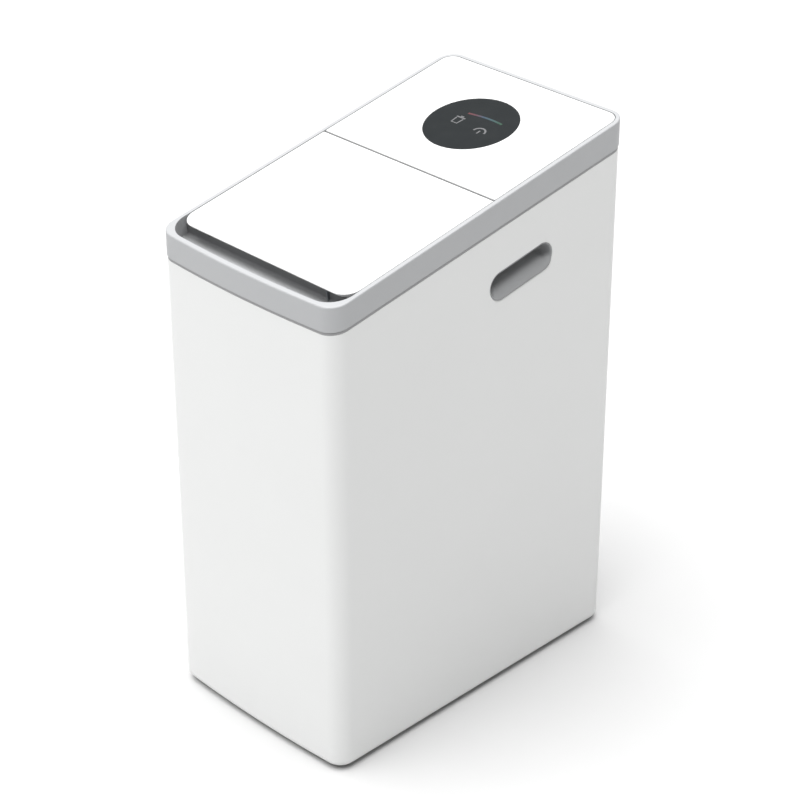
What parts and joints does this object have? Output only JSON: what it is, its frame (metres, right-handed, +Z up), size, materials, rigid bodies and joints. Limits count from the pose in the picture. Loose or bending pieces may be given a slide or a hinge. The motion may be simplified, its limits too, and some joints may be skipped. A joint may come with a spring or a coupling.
{
  "type": "trash compactor",
  "caption": "Narrow free-standing trash compactor with a sloping lidded top, round display, side hand holds and a screw-driven press plate behind the bin.",
  "frame": {"origin": "centre of the cabinet's outline, on the floor under the feet", "axes": "+Z up, -Y towards the bowed front where the lid opens, +X to the right when the cabinet is seen from the front"},
  "size_m": [0.3, 0.498, 0.7321],
  "materials": {
    "white_paint": "satin",
    "silver_plastic": "satin",
    "white_gloss": "gloss",
    "dark_glass": "gloss",
    "grey_plastic": "satin",
    "dark_plastic": "matte",
    "bin_plastic": "satin",
    "liner_plastic": "satin",
    "black_rubber": "matte",
    "grey_rubber": "matte",
    "plate_steel": "brushed",
    "rear_paint": "satin",
    "ground_steel": "polished",
    "bronze": "machined",
    "pulley_alu": "machined",
    "motor_case": "satin",
    "pcb": "satin",
    "zinc_steel": "satin",
    "carbon": "matte"
  },
  "bodies": {
    "cabinet": {"foot": "black_rubber", "base_tray": "dark_plastic", "casing_wrap": "white_paint", "rear_cover": "rear_paint", "collar_frame": "silver_plastic", "seam_gasket": "grey_rubber", "hinge_seal": "grey_rubber", "control_deck": "white_gloss", "display_window": "dark_glass", "display_board": "pcb", "hand_cup_left": "grey_plastic", "hand_cup_right": "grey_plastic", "throat_liner": "liner_plastic", "waste_bin": "bin_plastic", "bag_ring": "grey_plastic", "chamber_floor": "zinc_steel", "front_plate": "plate_steel", "divider_plate": "plate_steel", "bearing_plate": "plate_steel", "side_rails": "zinc_steel", "guide_bushes": "bronze", "screw_bearings": "zinc_steel", "drive_belt": "black_rubber", "gear_motor": "motor_case", "board_carrier": "dark_plastic", "control_board": "pcb", "power_supply": "zinc_steel", "power_inlet": "dark_plastic", "fan_housing": "dark_plastic", "filter_guide": "dark_plastic", "lock_solenoid": "zinc_steel", "lid_sensor": "dark_plastic", "cover_screws": "zinc_steel", "plate_bolts": "zinc_steel", "wiring_loom": "black_rubber"},
    "lid": {"lid_outer": "white_gloss", "lid_inner": "liner_plastic", "lid_gasket": "grey_rubber", "hinge_pins": "ground_steel", "lid_strike": "zinc_steel", "lid_magnet": "zinc_steel"},
    "press": {"ram_plate": "plate_steel", "push_tubes": "zinc_steel", "screw_nuts": "bronze", "guide_rods": "ground_steel"},
    "upper_screw": {"screw_upper": "ground_steel", "pulley_upper": "pulley_alu"},
    "lower_screw": {"screw_lower": "ground_steel", "pulley_lower": "pulley_alu"},
    "motor_rotor": {"motor_shaft": "ground_steel", "motor_pulley": "pulley_alu"},
    "bolt": {"lock_bolt": "ground_steel"},
    "fan": {"fan_rotor": "dark_plastic"},
    "drawer": {"filter_drawer": "dark_plastic", "carbon_filter": "carbon"},
    "rocker": {"power_rocker": "dark_plastic"}
  },
  "joints": [
    {"name": "lid_hinge", "type": "hinge", "parent": "cabinet", "child": "lid", "pos_m": [0, 0.01765, 0.68725], "axis": [-1, 0, 0], "range_deg": [0, 85]},
    {"name": "press_slide", "type": "slide", "parent": "cabinet", "child": "press", "axis": [0, 1, 0], "range_m": [-0.13, 0]},
    {"name": "upper_screw_turn", "type": "hinge", "parent": "cabinet", "child": "upper_screw", "pos_m": [0, 0.2, 0.35], "axis": [0, 1, 0], "range_deg": [0, 11701]},
    {"name": "lower_screw_turn", "type": "hinge", "parent": "cabinet", "child": "lower_screw", "pos_m": [0, 0.2, 0.15], "axis": [0, 1, 0], "range_deg": [0, 11701]},
    {"name": "motor_turn", "type": "hinge", "parent": "cabinet", "child": "motor_rotor", "pos_m": [0.07, 0.2, 0.25], "axis": [0, 1, 0], "range_deg": [0, 23402]},
    {"name": "bolt_slide", "type": "slide", "parent": "cabinet", "child": "bolt", "axis": [1, 0, 0], "range_m": [0, 0.009]},
    {"name": "fan_spin", "type": "hinge", "parent": "cabinet", "child": "fan", "pos_m": [0, 0.235, 0.64], "axis": [0, 1, 0], "continuous": true},
    {"name": "filter_slide", "type": "slide", "parent": "cabinet", "child": "drawer", "axis": [0, 1, 0], "range_m": [0, 0.07]},
    {"name": "rocker_tilt", "type": "hinge", "parent": "cabinet", "child": "rocker", "pos_m": [-0.066, 0.2427, 0.068], "axis": [-1, 0, 0], "range_deg": [0, 14]}
  ],
  "couplings": [
    {"joint": "upper_screw_turn", "follows": "press_slide", "rad_per_m": -1570.8},
    {"joint": "lower_screw_turn", "follows": "press_slide", "rad_per_m": -1570.8},
    {"joint": "motor_turn", "follows": "press_slide", "rad_per_m": -3141.6}
  ]
}
